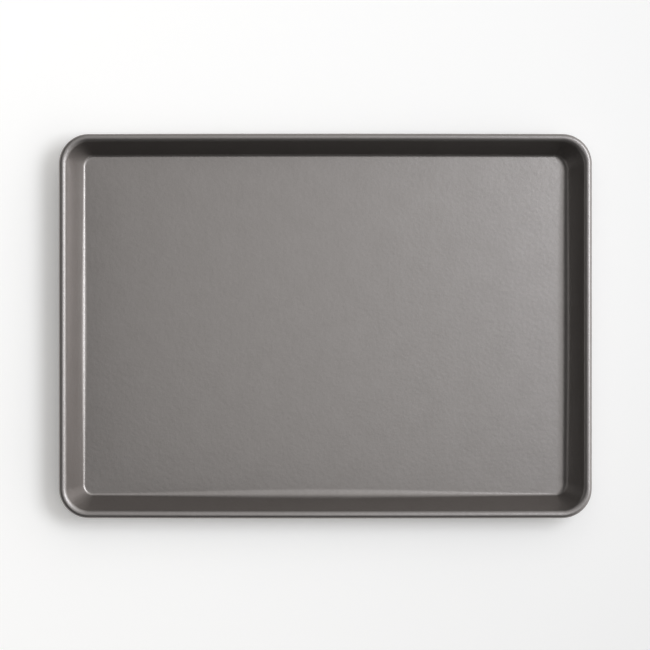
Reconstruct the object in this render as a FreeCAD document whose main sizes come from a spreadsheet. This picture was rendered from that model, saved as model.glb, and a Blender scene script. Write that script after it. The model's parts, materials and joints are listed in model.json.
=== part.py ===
import FreeCAD, Part
import math
import os
import Sketcher

# A jelly roll pan: one drawn steel sheet, with its edge curled around a reinforcing wire.
# Millimetres and degrees. +Z is up, X runs along the pan, and the origin lies on the table
# under the middle of the floor.

# Driving dimensions: alias, value, meaning.
SIZES = (
    ("overall_length", 457.2, "outside of the rim, along X"),
    ("overall_width", 330.2, "outside of the rim, along Y"),
    ("overall_height", 25.4, "from the table to the top of the rim"),
    ("sheet_thickness", 0.9, "steel sheet, the same all over"),
    ("wall_draft", 26.5, "lean of the walls from upright, in degrees"),
    ("floor_bend_radius", 5.5, "inside of the bend between floor and wall"),
    ("floor_corner_radius", 4.1, "corners of the flat floor, seen from above"),
    ("shoulder_radius", 4.5, "outside of the bend from the wall over to the curl's crest"),
    ("wire_diameter", 4, "reinforcing wire in the rim"),
    ("wire_play", 0.05, "radial room between the wire and the curl"),
    ("curl_opening", 105, "from the curl's crest back to its cut edge, on the wall's side, in degrees"),
    ("butt_gap", 1, "between the two ends of the wire"),
)

# Names for a sketch's own references, as constraints number them: points up from 1, axes down from -1.
START, END, CENTRE = range(1, 4)
X_AXIS, Y_AXIS = range(-1, -3, -1)
ORIGIN = (X_AXIS, START)


# The sheet of driving dimensions

def make_sizes(doc):
    sheet = doc.addObject("Spreadsheet::Sheet", "Sizes")
    for row, (alias, value, meaning) in enumerate(SIZES, start=1):
        sheet.set(f"A{row}", meaning)
        sheet.set(f"B{row}", str(value))
        sheet.setAlias(f"B{row}", alias)
    doc.recompute()
    return sheet


# Sketching helpers

def size(alias):
    """A driving dimension as a formula in millimetres, because the sheet holds plain numbers."""
    return f"(Sizes.{alias} * 1 mm)"


def new_sketch(body, name, plane_role, lift=None):
    """A sketch on one of the body's own planes, moved along the plane's normal by the formula lift."""
    sketch = body.newObject("Sketcher::SketchObject", name)
    plane = next(f for f in body.Origin.OriginFeatures if f.Role == plane_role)
    sketch.AttachmentSupport = [(plane, "")]
    sketch.MapMode = "FlatFace"
    if lift:
        sketch.setExpression("AttachmentOffset.Base.z", lift)
    return sketch


def relate(sketch, kind, *references):
    sketch.addConstraint(Sketcher.Constraint(kind, *references))


def dimension(sketch, name, formula, kind, *references):
    """A named dimension that follows a formula of the driving dimensions."""
    value = sketch.evalExpression(formula)
    number = value.getValueAs("rad").Value if kind == "Angle" else float(value)
    index = sketch.addConstraint(Sketcher.Constraint(kind, *references, number))
    sketch.renameConstraint(index, name)
    sketch.setExpression(f"Constraints.{name}", formula)


def measure(sketch, name, kind, *references):
    """A named dimension that the sketch reports and other formulas read."""
    index = sketch.addConstraint(Sketcher.Constraint(kind, *references))
    sketch.setDriving(index, False)
    sketch.renameConstraint(index, name)


def polar(centre, radius, angle):
    return centre + FreeCAD.Vector(math.cos(angle), math.sin(angle)) * radius


def arc(centre, radius, start, end):
    return Part.ArcOfCircle(Part.Circle(centre, FreeCAD.Vector(0, 0, 1), radius), start, end)


def line(start, end):
    return Part.LineSegment(start, end)


# The section through floor edge, wall and curl

def sketch_section(body, sizes):
    """The bent sheet, cut across the back side: sketch X points out of the pan and sketch Y up.
    "under" edges face the table and the wire, and "face" edges are the side that food touches."""
    thickness = sizes.sheet_thickness
    bend_inside = sizes.floor_bend_radius
    bend_outside = bend_inside + thickness
    shoulder_outside = sizes.shoulder_radius
    shoulder_inside = shoulder_outside - thickness
    curl_inside = sizes.wire_diameter / 2 + sizes.wire_play
    curl_outside = curl_inside + thickness

    draft = math.radians(sizes.wall_draft)
    down = -math.pi / 2
    crest = math.pi / 2
    wall_at_bend = -draft
    wall_at_shoulder = math.pi - draft
    lip_at_curl = crest + math.radians(sizes.curl_opening) - 2 * math.pi

    curl = FreeCAD.Vector(sizes.overall_width / 2 - curl_outside, sizes.overall_height - curl_outside)
    shoulder = FreeCAD.Vector(curl.x, sizes.overall_height - shoulder_outside)
    rise = shoulder.y - bend_outside
    reach = (bend_inside + shoulder_outside + rise * math.sin(draft)) / math.cos(draft)
    bend = FreeCAD.Vector(curl.x - reach, bend_outside)

    sketch = new_sketch(body, "Section", "YZ_Plane")
    edges = sketch.addGeometry([
        line(polar(bend, bend_outside, down), polar(bend, bend_inside, down)),
        arc(bend, bend_outside, down, wall_at_bend),
        line(polar(bend, bend_outside, wall_at_bend), polar(shoulder, shoulder_inside, wall_at_shoulder)),
        arc(shoulder, shoulder_inside, crest, wall_at_shoulder),
        arc(curl, curl_inside, lip_at_curl, crest),
        line(polar(curl, curl_inside, lip_at_curl), polar(curl, curl_outside, lip_at_curl)),
        arc(curl, curl_outside, lip_at_curl, crest),
        arc(shoulder, shoulder_outside, crest, wall_at_shoulder),
        line(polar(bend, bend_inside, wall_at_bend), polar(shoulder, shoulder_outside, wall_at_shoulder)),
        arc(bend, bend_inside, down, wall_at_bend),
    ])
    floor_cut, bend_under, wall_under, shoulder_under, curl_under = edges[:5]
    lip, curl_face, shoulder_face, wall_face, bend_face = edges[5:]

    relate(sketch, "Coincident", floor_cut, START, bend_under, START)
    relate(sketch, "Coincident", floor_cut, END, bend_face, START)
    relate(sketch, "Coincident", lip, START, curl_under, START)
    relate(sketch, "Coincident", lip, END, curl_face, START)
    for inner, outer in ((bend_under, bend_face), (shoulder_under, shoulder_face), (curl_under, curl_face)):
        relate(sketch, "Coincident", inner, CENTRE, outer, CENTRE)
    for bend_side, wall_side, shoulder_side, curl_side in (
        (bend_under, wall_under, shoulder_under, curl_under),
        (bend_face, wall_face, shoulder_face, curl_face),
    ):
        relate(sketch, "Tangent", bend_side, END, wall_side, START)
        relate(sketch, "Tangent", wall_side, END, shoulder_side, END)
        relate(sketch, "Tangent", shoulder_side, START, curl_side, END)
    relate(sketch, "Vertical", floor_cut)
    relate(sketch, "Vertical", shoulder_face, CENTRE, curl_face, CENTRE)
    relate(sketch, "PointOnObject", bend_face, CENTRE, floor_cut)
    relate(sketch, "PointOnObject", curl_face, CENTRE, lip)
    relate(sketch, "PointOnObject", floor_cut, START, X_AXIS)

    wire_seat = f"{size('wire_diameter')} / 2 + {size('wire_play')}"
    curl_radius = f"({wire_seat} + {size('sheet_thickness')})"
    dimension(sketch, "floor_thickness", size("sheet_thickness"), "Distance", floor_cut)
    dimension(sketch, "lip_thickness", size("sheet_thickness"), "Distance", lip)
    dimension(sketch, "bend_radius", size("floor_bend_radius"), "Radius", bend_face)
    dimension(sketch, "shoulder_radius", size("shoulder_radius"), "Radius", shoulder_face)
    dimension(sketch, "wire_seat", wire_seat, "Radius", curl_under)
    dimension(sketch, "wall_slope", "90 deg - Sizes.wall_draft * 1 deg", "Angle", wall_face)
    dimension(sketch, "lip_slope", "90 deg + Sizes.curl_opening * 1 deg", "Angle", lip)
    dimension(sketch, "curl_out", f"{size('overall_width')} / 2 - {curl_radius}",
              "DistanceX", *ORIGIN, curl_face, CENTRE)
    dimension(sketch, "curl_height", f"{size('overall_height')} - {curl_radius}",
              "DistanceY", *ORIGIN, curl_face, CENTRE)
    measure(sketch, "curl_radius", "Radius", curl_face, curl_outside)
    measure(sketch, "wall_reach", "DistanceX", bend_face, CENTRE, curl_face, CENTRE, reach)
    return sketch


# A rounded rectangle round the pan

def sketch_loop(body, name, lift, length, width, corner_radius, butt_gap=None):
    """A rounded rectangle about the origin. It starts and ends in the middle of the back side, where
    its ends meet, or stand butt_gap apart. Every size is a formula."""
    sketch = new_sketch(body, name, "XY_Plane", lift)
    half_length = float(sketch.evalExpression(length)) / 2
    half_width = float(sketch.evalExpression(width)) / 2
    radius = float(sketch.evalExpression(corner_radius))
    half_gap = float(sketch.evalExpression(butt_gap)) / 2 if butt_gap else 0

    quarter = math.pi / 2
    signs = ((-1, 1), (-1, -1), (1, -1), (1, 1))
    centres = [FreeCAD.Vector(sx * (half_length - radius), sy * (half_width - radius)) for sx, sy in signs]
    place = FreeCAD.Vector(-half_gap, half_width)
    edges = []
    for turn, centre in enumerate(centres, start=1):
        corner = arc(centre, radius, turn * quarter, (turn + 1) * quarter)
        edges += [line(place, corner.StartPoint), corner]
        place = corner.EndPoint
    edges.append(line(place, FreeCAD.Vector(half_gap, half_width)))
    loop = sketch.addGeometry(edges)
    back_left, left, front, right, back_right = loop[0::2]
    corners = loop[1::2]

    for before, after in zip(loop, loop[1:]):
        relate(sketch, "Tangent", before, END, after, START)
    for side in (back_left, front, back_right):
        relate(sketch, "Horizontal", side)
    for side in (left, right):
        relate(sketch, "Vertical", side)
    for corner in corners[1:]:
        relate(sketch, "Equal", corners[0], corner)
    relate(sketch, "Symmetric", corners[0], CENTRE, corners[2], CENTRE, *ORIGIN)
    dimension(sketch, "length", length, "DistanceX", left, START, right, START)
    dimension(sketch, "width", width, "DistanceY", front, START, back_left, START)
    dimension(sketch, "corner_radius", corner_radius, "Radius", corners[0])
    if butt_gap:
        relate(sketch, "Symmetric", back_left, START, back_right, END, Y_AXIS)
        dimension(sketch, "butt_gap", butt_gap, "DistanceX", back_left, START, back_right, END)
    else:
        relate(sketch, "Coincident", back_left, START, back_right, END)
        relate(sketch, "PointOnObject", back_left, START, Y_AXIS)
    return sketch


def sketch_rim_line(body, name, butt_gap=None):
    """The middle of the curl, all the way round the pan. The wire lies on it too."""
    return sketch_loop(
        body,
        name,
        lift="Section.Constraints.curl_height",
        length=f"{size('overall_length')} - 2 * Section.Constraints.curl_radius",
        width=f"{size('overall_width')} - 2 * Section.Constraints.curl_radius",
        corner_radius=f"{size('floor_corner_radius')} + Section.Constraints.wall_reach",
        butt_gap=butt_gap,
    )


def sweep(body, name, profile, path):
    pipe = body.newObject("PartDesign::AdditivePipe", name)
    pipe.Profile = profile
    pipe.Spine = path
    return pipe


# The two pieces

def make_pan_sheet(doc, sizes):
    """Floor, walls and curled edge, all bent from one sheet."""
    body = doc.addObject("PartDesign::Body", "PanSheet")
    body.Label = "pan_sheet"
    section = sketch_section(body, sizes)
    doc.recompute()
    rim_line = sketch_rim_line(body, "SheetRimLine")
    doc.recompute()
    sweep(body, "WallAndCurl", section, rim_line)

    inset = "2 * (Section.Constraints.curl_radius + Section.Constraints.wall_reach)"
    outline = sketch_loop(
        body,
        "FloorOutline",
        lift=None,
        length=f"{size('overall_length')} - {inset}",
        width=f"{size('overall_width')} - {inset}",
        corner_radius=size("floor_corner_radius"),
    )
    floor = body.newObject("PartDesign::Pad", "Floor")
    floor.Profile = outline
    floor.setExpression("Length", size("sheet_thickness"))
    doc.recompute()
    return body


def make_rim_wire(doc, sizes):
    """One wire bent to the rim, with its ends butted in the middle of the back side."""
    body = doc.addObject("PartDesign::Body", "RimWire")
    body.Label = "rim_wire"
    path = sketch_rim_line(body, "WireLine", butt_gap=size("butt_gap"))

    profile = new_sketch(body, "WireSection", "YZ_Plane", lift=f"-{size('butt_gap')} / 2")
    middle = FreeCAD.Vector(
        float(profile.evalExpression("Section.Constraints.curl_out")),
        float(profile.evalExpression("Section.Constraints.curl_height")),
    )
    wire = profile.addGeometry(Part.Circle(middle, FreeCAD.Vector(0, 0, 1), sizes.wire_diameter / 2))
    dimension(profile, "diameter", size("wire_diameter"), "Diameter", wire)
    dimension(profile, "out", "Section.Constraints.curl_out", "DistanceX", *ORIGIN, wire, CENTRE)
    dimension(profile, "height", "Section.Constraints.curl_height", "DistanceY", *ORIGIN, wire, CENTRE)
    doc.recompute()
    sweep(body, "Wire", profile, path)
    doc.recompute()
    return body


# Checking and writing

def check(doc, bodies):
    failed = [o.Label for o in doc.Objects if {"Invalid", "Error"} & set(o.State)]
    if failed:
        raise RuntimeError(f"these objects failed: {failed}")
    for sketch in doc.findObjects("Sketcher::SketchObject"):
        if sketch.solve() or not sketch.FullyConstrained:
            raise RuntimeError(f"the sketch {sketch.Label} isn't fully constrained")
    for body in bodies:
        shape = body.Shape
        if shape.isNull() or not shape.isValid() or len(shape.Solids) != 1:
            raise RuntimeError(f"{body.Label} isn't one valid solid")
        print(f"{body.Label}: {shape.Volume:.1f} mm3, {len(shape.Faces)} faces, {shape.BoundBox}")


def main():
    doc = FreeCAD.newDocument("JellyRollPan")
    sizes = make_sizes(doc)
    bodies = [make_pan_sheet(doc, sizes), make_rim_wire(doc, sizes)]
    check(doc, bodies)
    os.makedirs("parts", exist_ok=True)
    for body in bodies:
        body.Shape.exportStep(os.path.join("parts", f"{body.Label}.step"))


main()
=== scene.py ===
import json
import math
from collections import namedtuple

import bpy
import numpy as np
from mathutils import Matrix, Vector


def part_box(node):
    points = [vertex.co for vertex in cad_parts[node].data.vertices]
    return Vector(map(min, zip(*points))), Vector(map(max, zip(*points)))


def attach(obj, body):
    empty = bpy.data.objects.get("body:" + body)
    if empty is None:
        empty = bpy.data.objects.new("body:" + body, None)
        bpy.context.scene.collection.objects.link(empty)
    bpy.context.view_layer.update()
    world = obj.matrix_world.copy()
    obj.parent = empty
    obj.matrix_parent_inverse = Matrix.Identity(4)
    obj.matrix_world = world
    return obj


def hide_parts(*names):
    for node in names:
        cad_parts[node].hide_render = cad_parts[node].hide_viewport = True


# A jelly roll pan, dressed: the drawn sheet as a fine mesh with a satin coating, and the wire in its curl.
# Metres. +Z is up, X runs along the pan, and the origin lies on the table under the middle of the floor.

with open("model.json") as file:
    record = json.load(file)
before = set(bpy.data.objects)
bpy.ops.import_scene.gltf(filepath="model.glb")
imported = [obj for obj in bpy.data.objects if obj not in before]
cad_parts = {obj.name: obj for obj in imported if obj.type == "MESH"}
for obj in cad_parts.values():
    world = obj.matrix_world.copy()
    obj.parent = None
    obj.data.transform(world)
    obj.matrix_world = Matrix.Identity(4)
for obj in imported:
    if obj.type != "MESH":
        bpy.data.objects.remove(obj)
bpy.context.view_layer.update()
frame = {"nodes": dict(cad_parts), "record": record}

# Sizes that the frame gives

SHEET_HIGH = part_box("pan_sheet")[1]
WIRE_LOW, WIRE_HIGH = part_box("rim_wire")
MOUNTS = {mount["name"]: mount for mount in frame["record"]["mounts"]}
SHEET_THICKNESS = MOUNTS["baking_floor"]["pos_m"][2]
CURL_HEIGHT = (WIRE_LOW.z + WIRE_HIGH.z) / 2
CURL_OUTER_RADIUS = SHEET_HIGH.z - CURL_HEIGHT
CURL_HALF_LENGTH = SHEET_HIGH.x - CURL_OUTER_RADIUS
CURL_HALF_WIDTH = SHEET_HIGH.y - CURL_OUTER_RADIUS

# Sizes of the sheet's bends

SHOULDER_RADIUS = 0.0045
CURL_TURN = math.radians(255)
RIM_CORNER_RADIUS = 0.0225
LIFT_RADIUS = 0.04

# What springs back in the drawn sheet, with angles in degrees. A form is the section's shape at one place:
# the wall leans by its draft, and grows steeper by its curve on the way up, and the floor lifts a little
# before the bend. A side has its own form in its middle. A corner has one where it meets the side before
# it, and one where it meets the next.

Form = namedtuple("Form", "draft curve lift bend_radius")
RIGHT_SIDE = Form(draft=29.4, curve=7, lift=6, bend_radius=0.0092)
BACK_SIDE = Form(draft=23.8, curve=7, lift=2, bend_radius=0.0038)
LEFT_SIDE = Form(draft=27.7, curve=20, lift=1, bend_radius=0.006)
FRONT_SIDE = Form(draft=26.3, curve=7, lift=1, bend_radius=0.01)

Corner = namedtuple("Corner", "form next_form floor_radius")
FRONT_RIGHT = Corner(
    Form(draft=27.4, curve=7, lift=1, bend_radius=0.0033),
    Form(draft=31.2, curve=7, lift=5, bend_radius=0.0085),
    floor_radius=0.0075,
)
BACK_RIGHT = Corner(
    Form(draft=29.8, curve=7, lift=5, bend_radius=0.0075),
    Form(draft=24, curve=7, lift=1, bend_radius=0.0035),
    floor_radius=0.0105,
)
BACK_LEFT = Corner(
    Form(draft=24.6, curve=7, lift=1, bend_radius=0.0033),
    Form(draft=29.4, curve=25, lift=1, bend_radius=0.0033),
    floor_radius=0.008,
)
FRONT_LEFT = Corner(
    Form(draft=28.9, curve=12, lift=1, bend_radius=0.0028),
    Form(draft=27.4, curve=7, lift=1, bend_radius=0.0028),
    floor_radius=0.0068,
)

# The floor crowns between the walls, which reach in from the curl, and the long sides bow out

FLOOR_CROWN = 0.0008
CROWN_LENGTH_POWER = 16
CROWN_WIDTH_POWER = 8
WALL_REACH = 0.017
LONG_SIDE_BOW = 0.0004

# How finely the mesh is divided

CORNER_STEPS = 28
SIDE_STEPS = 40
FLOOR_RINGS = 24
LIFT_STEPS = 4
BEND_STEPS = 14
WALL_STEPS = 8
SHOULDER_STEPS = 12
CURL_STEPS = 48
SHARP_ANGLE = math.radians(40)

# The photograph's frame, seen from straight above, with the sensor in millimetres

CAMERA_HEIGHT = 2.2
SENSOR_WIDTH = 36
FRAME_WIDTH = 0.5578
FRAME_MIDDLE = (-0.0003, 0.0009)


# The section through floor edge, wall and curl

def trace(arcs):
    """Points (out, up) and slopes along a chain of arcs that starts level at the origin. Each arc has a
    radius, an angle that it turns by, and a number of steps."""
    points, slopes = [np.zeros((1, 2))], [np.zeros(1)]
    for radius, turn, steps in arcs:
        place, slope = points[-1][-1], slopes[-1][-1]
        bent = slope + turn * np.linspace(0, 1, steps + 1)[1:]
        moved = np.column_stack([np.sin(bent) - math.sin(slope), math.cos(slope) - np.cos(bent)])
        points.append(place + math.copysign(radius, turn) * moved)
        slopes.append(bent)
    return np.concatenate(points), np.concatenate(slopes)


def section(form):
    """Points (out, up) along the sheet's surface: from the flat floor's edge up the face of the wall, round
    the curl to its cut lip, and back inside the curl and down to the floor's underside. Out is measured
    from the curl's crest."""
    draft, curve, lift = np.radians([form.draft, form.curve, form.lift])
    foot = math.pi / 2 - draft - curve / 2
    head = foot + curve
    lift_rise = LIFT_RADIUS * (1 - math.cos(lift))
    bend_rise = form.bend_radius * (math.cos(lift) - math.cos(foot))
    shoulder_rise = SHOULDER_RADIUS * (1 - math.cos(head))
    wall_rise = SHEET_HIGH.z - SHEET_THICKNESS - lift_rise - bend_rise - shoulder_rise
    wall_radius = wall_rise / (math.cos(foot) - math.cos(head))

    face, slopes = trace([
        (LIFT_RADIUS, lift, LIFT_STEPS),
        (form.bend_radius, foot - lift, BEND_STEPS),
        (wall_radius, curve, WALL_STEPS),
        (SHOULDER_RADIUS, -head, SHOULDER_STEPS),
        (CURL_OUTER_RADIUS, -CURL_TURN, CURL_STEPS),
    ])
    crest = face[-1 - CURL_STEPS]
    face = face + [-crest[0], SHEET_THICKNESS]
    under = face - SHEET_THICKNESS * np.column_stack([-np.sin(slopes), np.cos(slopes)])
    return np.concatenate([face, under[::-1]])


# The way round the pan. A station is a place on the curl's crest, with the direction outward from it, how
# far the floor's edge slips along there, and the section's form.

Station = namedtuple("Station", "crest outward slip form")


def blend(start, end, share):
    return start + (end - start) * share


def blend_forms(start, end, share):
    return Form(*blend(np.array(start), np.array(end), share))


def corner_stations(signs, start_angle, corner):
    """Stations round a corner. The crest turns about another point than the floor's corner does, so the
    floor's edge slips along by what its own radius asks."""
    centre = (np.array([CURL_HALF_LENGTH, CURL_HALF_WIDTH]) - RIM_CORNER_RADIUS) * signs
    found = []
    for share in np.linspace(0, 1, CORNER_STEPS + 1):
        angle = start_angle + share * math.pi / 2
        outward = np.array([math.cos(angle), math.sin(angle)])
        form = blend_forms(corner.form, corner.next_form, share)
        reach = -section(form)[0, 0]
        slip = (corner.floor_radius + reach - RIM_CORNER_RADIUS) * (outward - signs)
        found.append(Station(centre + RIM_CORNER_RADIUS * outward, outward, slip, form))
    return found


def side_stations(first, last, side_form):
    """Stations on one side, between the corner stations first and last. The side's own form is fullest in
    its middle."""
    found = []
    for share in np.linspace(0, 1, SIDE_STEPS + 1)[1:-1]:
        full_share = (1 - (2 * share - 1) ** 2) ** 2
        found.append(Station(
            blend(first.crest, last.crest, share),
            first.outward,
            blend(first.slip, last.slip, share),
            blend_forms(blend_forms(first.form, last.form, share), side_form, full_share),
        ))
    return found


def stations():
    """Stations all the way round, counter-clockwise from the right end of the front side."""
    signs = np.array([(1, -1), (1, 1), (-1, 1), (-1, -1)])
    corners = (FRONT_RIGHT, BACK_RIGHT, BACK_LEFT, FRONT_LEFT)
    sides = (RIGHT_SIDE, BACK_SIDE, LEFT_SIDE, FRONT_SIDE)
    turns = [
        corner_stations(signs[quarter], (quarter - 1) * math.pi / 2, corner)
        for quarter, corner in enumerate(corners)
    ]
    way = []
    for turn, next_turn, side in zip(turns, turns[1:] + turns[:1], sides):
        way += turn + side_stations(turn[-1], next_turn[0], side)
    return way


# Objects and shader nodes

def add_object(name, data):
    """A new object in the scene."""
    new_object = bpy.data.objects.new(name, data)
    bpy.context.scene.collection.objects.link(new_object)
    return new_object


def connect(tree, socket, source):
    """Gives a node's input another node's output, or a value."""
    if isinstance(source, bpy.types.NodeSocket):
        tree.links.new(source, socket)
    else:
        socket.default_value = source


def set_up(tree, node, **settings):
    """Sets a node's inputs and properties by name. A blank in an input's name is written as an
    underscore."""
    for name, setting in settings.items():
        input_name = name.replace("_", " ")
        if input_name in node.inputs:
            connect(tree, node.inputs[input_name], setting)
        else:
            setattr(node, name, setting)


def add_node(tree, kind, **settings):
    node = tree.nodes.new(kind)
    set_up(tree, node, **settings)
    return node


def add_math(tree, operation, *terms, kind="ShaderNodeMath", **settings):
    """The number that an operation makes of its terms."""
    node = add_node(tree, kind, operation=operation, **settings)
    for socket, term in zip(node.inputs, terms):
        connect(tree, socket, term)
    return node.outputs["Value"]


def add_range(tree, value, **settings):
    """A value carried from one range to another."""
    return add_node(tree, "ShaderNodeMapRange", Value=value, **settings).outputs["Result"]


def add_mix(tree, share, first, second):
    """A colour between two colours."""
    node = add_node(tree, "ShaderNodeMix", data_type="RGBA", Factor=share, A=first, B=second)
    return node.outputs["Result"]


def new_material(name):
    """A material, its node tree, its Principled shader, and the place on the object."""
    material = bpy.data.materials.new(name)
    material.use_nodes = True
    tree = material.node_tree
    place = add_node(tree, "ShaderNodeTexCoord").outputs["Object"]
    return material, tree, tree.nodes["Principled BSDF"], place


# The drawn sheet

def crown(x, y):
    """How far the floor rises between its walls. It is steep at the left end, and falls off evenly from
    there to the right."""
    half_length = CURL_HALF_LENGTH - WALL_REACH
    half_width = CURL_HALF_WIDTH - WALL_REACH
    left_share = np.clip((half_length - x) / (2 * half_length), 0, 1)
    wide_share = np.clip(np.abs(y) / half_width, 0, 1)
    long_share = left_share * (1 - left_share ** CROWN_LENGTH_POWER)
    return FLOOR_CROWN * long_share * (1 - wide_share ** CROWN_WIDTH_POWER)


def sheet_points():
    """One row of points for each station: from near the middle of the floor's face out over the section,
    and back along the underside. The rings crowd towards the floor's edge."""
    ring_shares = np.sin(np.linspace(0, math.pi / 2, FLOOR_RINGS + 1))[1:-1, None]
    level_shares = np.hstack([ring_shares, ring_shares, np.ones_like(ring_shares)])
    rows = []
    for station in stations():
        out, up = section(station.form).T
        slip_shares = np.clip(out / out[0], 0, 1)
        flat = station.crest + np.outer(out, station.outward) + np.outer(slip_shares, station.slip)
        rim = np.column_stack([flat, up])
        face = rim[0] * level_shares
        under = rim[-1] * level_shares
        rows.append(np.concatenate([face, rim, under[::-1]]))
    points = np.array(rows)
    x, y = points[:, :, 0], points[:, :, 1]
    points[:, :, 2] += crown(x, y)
    points[:, :, 1] *= 1 - LONG_SIDE_BOW / SHEET_HIGH.y * (x / SHEET_HIGH.x) ** 2
    return points


def make_sheet():
    """The closed sheet: a band of faces between each row and the next, and a fan round the middle of the
    floor's face and of its underside."""
    points = sheet_points()
    count, per_row = points.shape[:2]
    face_pole, under_pole = count * per_row, count * per_row + 1
    poles = [(0, 0, SHEET_THICKNESS + crown(0, 0)), (0, 0, crown(0, 0))]

    faces = []
    for row in range(count):
        here, there = row * per_row, (row + 1) % count * per_row
        faces.append((face_pole, here, there))
        for i in range(per_row - 1):
            faces.append((here + i, here + i + 1, there + i + 1, there + i))
        faces.append((here + per_row - 1, under_pole, there + per_row - 1))

    mesh = bpy.data.meshes.new("drawn_sheet")
    mesh.from_pydata(np.concatenate([points.reshape(-1, 3), poles]).tolist(), [], faces)
    mesh.shade_smooth()
    mesh.set_sharp_from_angle(angle=SHARP_ANGLE)
    mesh.materials.append(coating_material())
    return add_object("drawn_sheet", mesh)


# The coating on the sheet

PEEL_WAVE = 0.0032
PEEL_DETAIL = 2
PEEL_HEIGHT = 0.000082
MOTTLE_WAVE = 0.02
MOTTLE_DETAIL = 3
FLAKE_SIZE = 0.0013
FLAKE_SHARE = 0.3
COATING_DARK = (0.273, 0.254, 0.242, 1)
COATING_LIGHT = (0.303, 0.282, 0.27, 1)
COATING_LEAST_ROUGHNESS = 0.355
COATING_MOST_ROUGHNESS = 0.385
STRETCHED_COLOUR = (0.283, 0.264, 0.253, 1)
STRETCHED_ADDED_ROUGHNESS = 0.05


def coating_material():
    """Satin coating: a faint orange peel, soft mottling, fine flake, and an even, duller skin where the
    sheet was stretched over the curl."""
    material, tree, shader, place = new_material("satin_coating")
    peel = add_node(tree, "ShaderNodeTexNoise", Vector=place, Scale=1 / PEEL_WAVE, Detail=PEEL_DETAIL)
    bump = add_node(tree, "ShaderNodeBump", Height=peel.outputs["Fac"], Distance=PEEL_HEIGHT)

    noise = add_node(tree, "ShaderNodeTexNoise", Vector=place, Scale=1 / MOTTLE_WAVE, Detail=MOTTLE_DETAIL)
    mottle = noise.outputs["Fac"]
    flake = add_node(tree, "ShaderNodeTexVoronoi", Vector=place, Scale=1 / FLAKE_SIZE)
    flake_grey = add_node(tree, "ShaderNodeSeparateColor", Color=flake.outputs["Color"]).outputs["Red"]
    glint = add_range(tree, flake_grey, To_Min=-FLAKE_SHARE / 2, To_Max=FLAKE_SHARE / 2)
    tone = add_math(tree, "ADD", glint, mottle, use_clamp=True)
    colour = add_mix(tree, tone, COATING_DARK, COATING_LIGHT)
    roughness = add_range(tree, mottle, To_Min=COATING_LEAST_ROUGHNESS, To_Max=COATING_MOST_ROUGHNESS)

    height = add_node(tree, "ShaderNodeSeparateXYZ", Vector=place).outputs["Z"]
    stretched = add_range(
        tree, height, interpolation_type="SMOOTHSTEP", From_Min=CURL_HEIGHT, From_Max=SHEET_HIGH.z)

    set_up(
        tree,
        shader,
        Metallic=1,
        Base_Color=add_mix(tree, stretched, colour, STRETCHED_COLOUR),
        Roughness=add_math(tree, "MULTIPLY_ADD", stretched, STRETCHED_ADDED_ROUGHNESS, roughness),
        Normal=bump.outputs["Normal"],
    )
    return material


# The wire's metal

STREAK_LENGTH = 0.03
STREAK_WIDTH = 0.0002
STREAK_DETAIL = 2
STREAK_DEPTH = 0.000004
OXIDE_WAVE = 0.006
OXIDE_DETAIL = 4
WIRE_DARK = (0.4, 0.385, 0.365, 1)
WIRE_LIGHT = (0.54, 0.53, 0.51, 1)
WIRE_LEAST_ROUGHNESS = 0.27
WIRE_MOST_ROUGHNESS = 0.45


def wire_material():
    """Bare drawn wire: fine die lines along it, and a thin cloudy oxide. The lines keep to one height, so
    they run along the wire on all four sides."""
    material, tree, shader, place = new_material("drawn_wire")
    streak_scale = (1 / STREAK_LENGTH, 1 / STREAK_LENGTH, 1 / STREAK_WIDTH)
    along = add_node(tree, "ShaderNodeMapping", Vector=place, Scale=streak_scale).outputs["Vector"]
    noise = add_node(tree, "ShaderNodeTexNoise", Vector=along, Scale=1, Detail=STREAK_DETAIL)
    streak = noise.outputs["Fac"]
    bump = add_node(tree, "ShaderNodeBump", Height=streak, Distance=STREAK_DEPTH)
    oxide = add_node(tree, "ShaderNodeTexNoise", Vector=place, Scale=1 / OXIDE_WAVE, Detail=OXIDE_DETAIL)

    set_up(
        tree,
        shader,
        Metallic=1,
        Base_Color=add_mix(tree, oxide.outputs["Fac"], WIRE_DARK, WIRE_LIGHT),
        Roughness=add_range(tree, streak, To_Min=WIRE_LEAST_ROUGHNESS, To_Max=WIRE_MOST_ROUGHNESS),
        Normal=bump.outputs["Normal"],
    )
    return material


# The table

WHITE = (1, 1, 1)
TABLE_SIZE = 40
TABLE_LEFT_COLOUR = (0.955, 0.938, 0.911, 1)
TABLE_RIGHT_COLOUR = (0.73, 0.716, 0.696, 1)
TABLE_ROUGHNESS = 0.9
TABLE_GLOW = 0.2


def table_material():
    """Pale, and paler on the left, where less light reaches the table, so that it looks even. Seen or
    mirrored, it glows a little, as an overexposed one."""
    material, tree, shader, place = new_material("pale_table")
    across = add_node(tree, "ShaderNodeSeparateXYZ", Vector=place).outputs["X"]
    right_share = add_range(tree, across, From_Min=-FRAME_WIDTH / 2, From_Max=FRAME_WIDTH / 2)

    path = add_node(tree, "ShaderNodeLightPath").outputs
    mirrored = add_math(tree, "MAXIMUM", path["Is Glossy Ray"], path["Is Transmission Ray"])
    seen = add_math(tree, "MAXIMUM", path["Is Camera Ray"], mirrored)

    set_up(
        tree,
        shader,
        Base_Color=add_mix(tree, right_share, TABLE_LEFT_COLOUR, TABLE_RIGHT_COLOUR),
        Roughness=TABLE_ROUGHNESS,
        Specular_IOR_Level=0,
        Emission_Color=(*WHITE, 1),
        Emission_Strength=add_math(tree, "MULTIPLY", seen, TABLE_GLOW),
    )
    return material


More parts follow.
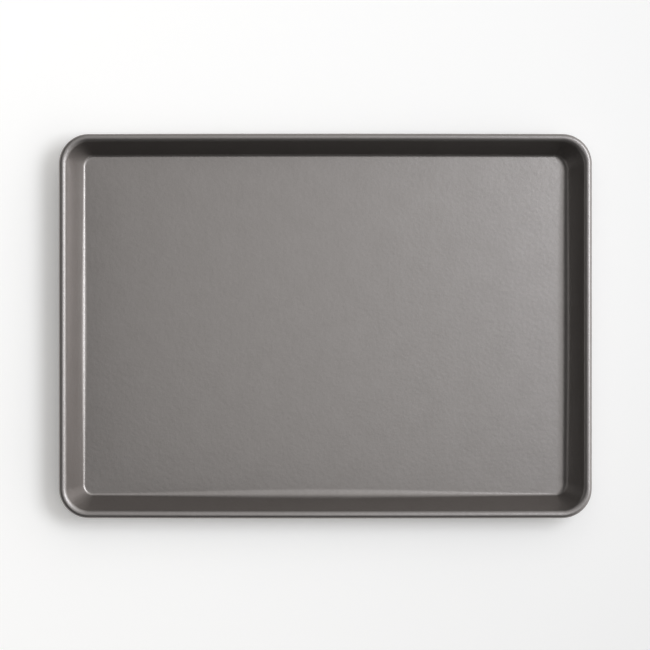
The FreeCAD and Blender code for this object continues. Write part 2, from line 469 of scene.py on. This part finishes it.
def make_table():
    """A plain table that takes the pan's shadow."""
    half = TABLE_SIZE / 2
    corners = [(-half, -half, 0), (half, -half, 0), (half, half, 0), (-half, half, 0)]
    mesh = bpy.data.meshes.new("table")
    mesh.from_pydata(corners, [], [(0, 1, 2, 3)])
    mesh.materials.append(table_material())
    table = add_object("table", mesh)


# Light and camera. A panel's azimuth is counted from +X and its elevation from the table, in degrees.

COOL_WHITE = (0.94, 0.985, 1.05)
Panel = namedtuple("Panel", "azimuth elevation distance width height radiance colour")
PANELS = {
    "key_softbox": Panel(
        azimuth=19, elevation=54.3, distance=1.75, width=0.95, height=0.68, radiance=7, colour=COOL_WHITE),
    "back_panel": Panel(
        azimuth=105, elevation=50, distance=1.9, width=1.77, height=1.4, radiance=0.58, colour=WHITE),
    "overhead_panel": Panel(
        azimuth=180, elevation=88, distance=1.75, width=0.95, height=0.95, radiance=0.84, colour=WHITE),
    "left_card": Panel(
        azimuth=180, elevation=10, distance=1.6, width=2, height=0.5, radiance=0.44, colour=WHITE),
}
WORLD_DARK = 0.085
WORLD_BRIGHT = 1.6
WORLD_BRIGHT_SIDE = (0.96, 0.28, 0)


def make_panel(name, panel):
    """A soft panel that faces the middle of the pan. Its power follows from its area and its radiance."""
    azimuth, elevation = math.radians(panel.azimuth), math.radians(panel.elevation)
    level = panel.distance * math.cos(elevation)
    place = Vector((
        level * math.cos(azimuth),
        level * math.sin(azimuth),
        panel.distance * math.sin(elevation),
    ))
    data = bpy.data.lights.new(name, "AREA")
    data.shape = "RECTANGLE"
    data.size, data.size_y = panel.width, panel.height
    data.energy = math.pi * panel.width * panel.height * panel.radiance
    data.color = panel.colour
    lamp = add_object(name, data)
    lamp.location = place
    lamp.rotation_euler = place.to_track_quat("Z", "Y").to_euler()
    lamp.visible_camera = False


def make_world():
    """An even dim light that grows towards the bright side of the room."""
    world = bpy.data.worlds.new("studio")
    world.use_nodes = True
    bpy.context.scene.world = world
    tree = world.node_tree
    direction = add_node(tree, "ShaderNodeTexCoord").outputs["Generated"]
    side = add_math(tree, "DOT_PRODUCT", direction, WORLD_BRIGHT_SIDE, kind="ShaderNodeVectorMath")
    level = add_range(tree, side, To_Min=WORLD_DARK, To_Max=WORLD_BRIGHT)
    set_up(tree, tree.nodes["Background"], Color=(*WHITE, 1), Strength=level)


def make_camera():
    """A camera over the pan, whose frame is as wide as the photograph's at the height of the curl."""
    data = bpy.data.cameras.new("camera")
    data.sensor_width = SENSOR_WIDTH
    data.lens = SENSOR_WIDTH * (CAMERA_HEIGHT - CURL_HEIGHT) / FRAME_WIDTH
    camera = add_object("camera", data)
    camera.location = (*FRAME_MIDDLE, CAMERA_HEIGHT)
    bpy.context.scene.camera = camera


# The whole

sheet = make_sheet()
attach(sheet, "root")
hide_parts("pan_sheet")

wire = frame["nodes"]["rim_wire"]
wire.material_slots[0].material = wire_material()

make_table()
for panel_name, panel in PANELS.items():
    make_panel(panel_name, panel)
make_world()
make_camera()
bpy.context.scene.view_settings.view_transform = "Standard"
